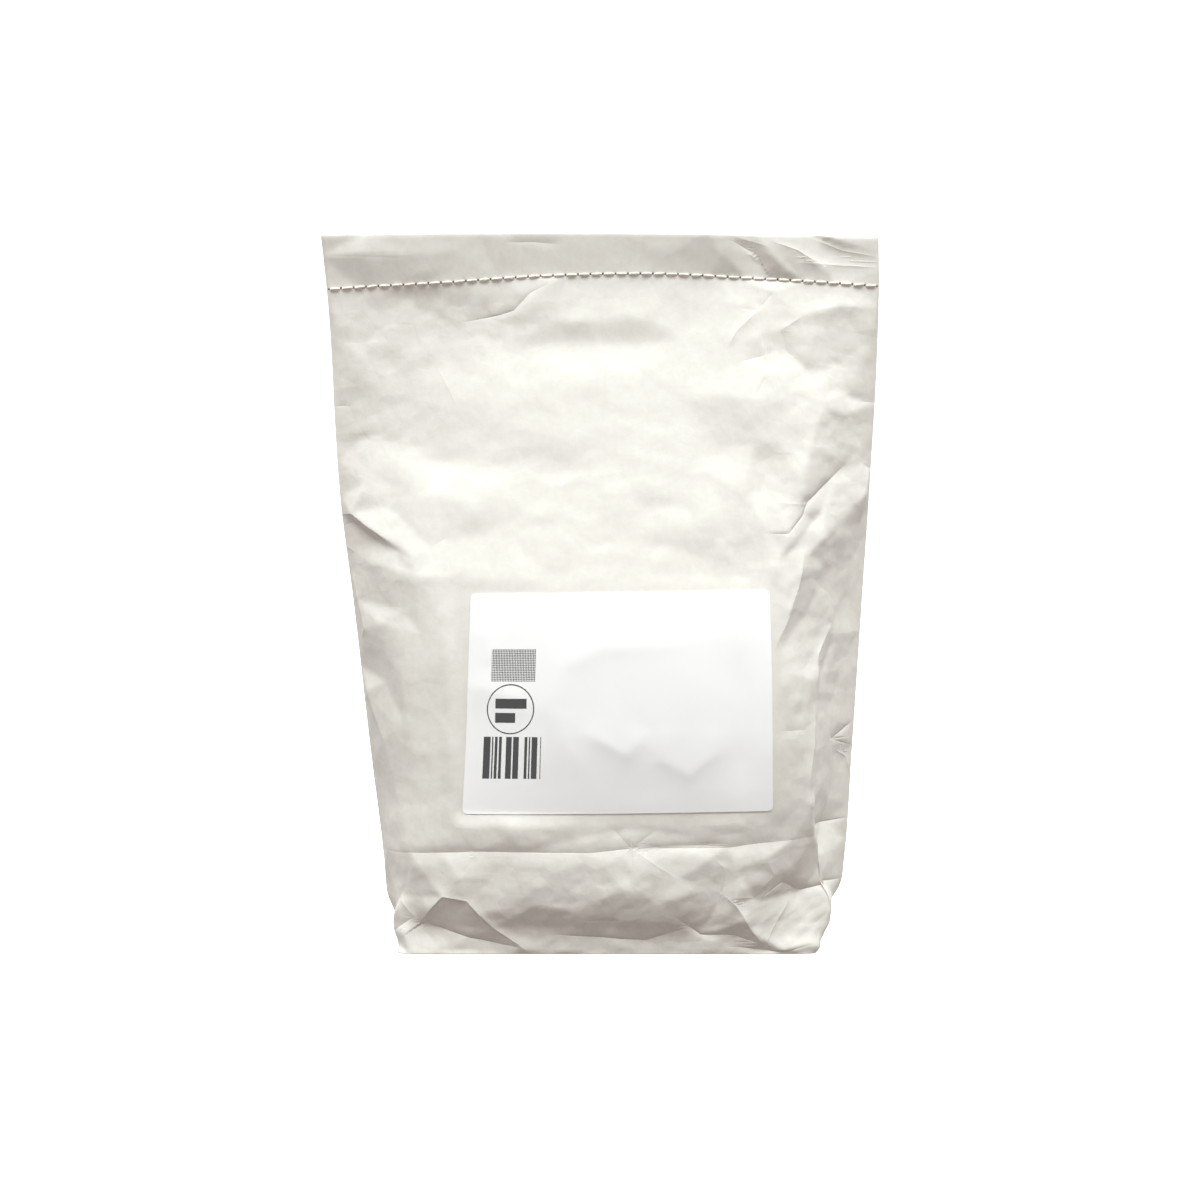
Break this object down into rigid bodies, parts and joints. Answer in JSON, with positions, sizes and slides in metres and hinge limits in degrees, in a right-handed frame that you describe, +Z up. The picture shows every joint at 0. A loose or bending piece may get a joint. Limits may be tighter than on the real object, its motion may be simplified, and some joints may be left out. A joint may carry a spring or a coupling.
{
  "type": "bag of psyllium husk",
  "caption": "Filled white paper bag standing on a folded block bottom, its mouth folded back and sewn shut, with a large label low on the front.",
  "frame": {"origin": "middle of the block bottom's flat face, where the bag rests", "axes": "+Z up along the bag, -Y out of the labelled front, +X to the right of someone who reads the label"},
  "size_m": [0.2677, 0.0785, 0.3459],
  "materials": {
    "bag_paper": "matt white sack paper, creased",
    "label_paper": "smooth satin self-adhesive label",
    "sewing_thread": "twisted cotton sewing thread"
  },
  "bodies": {
    "root": {"bag": "bag_paper", "label": "label_paper", "thread_front": "sewing_thread", "thread_back": "sewing_thread"}
  },
  "joints": []
}
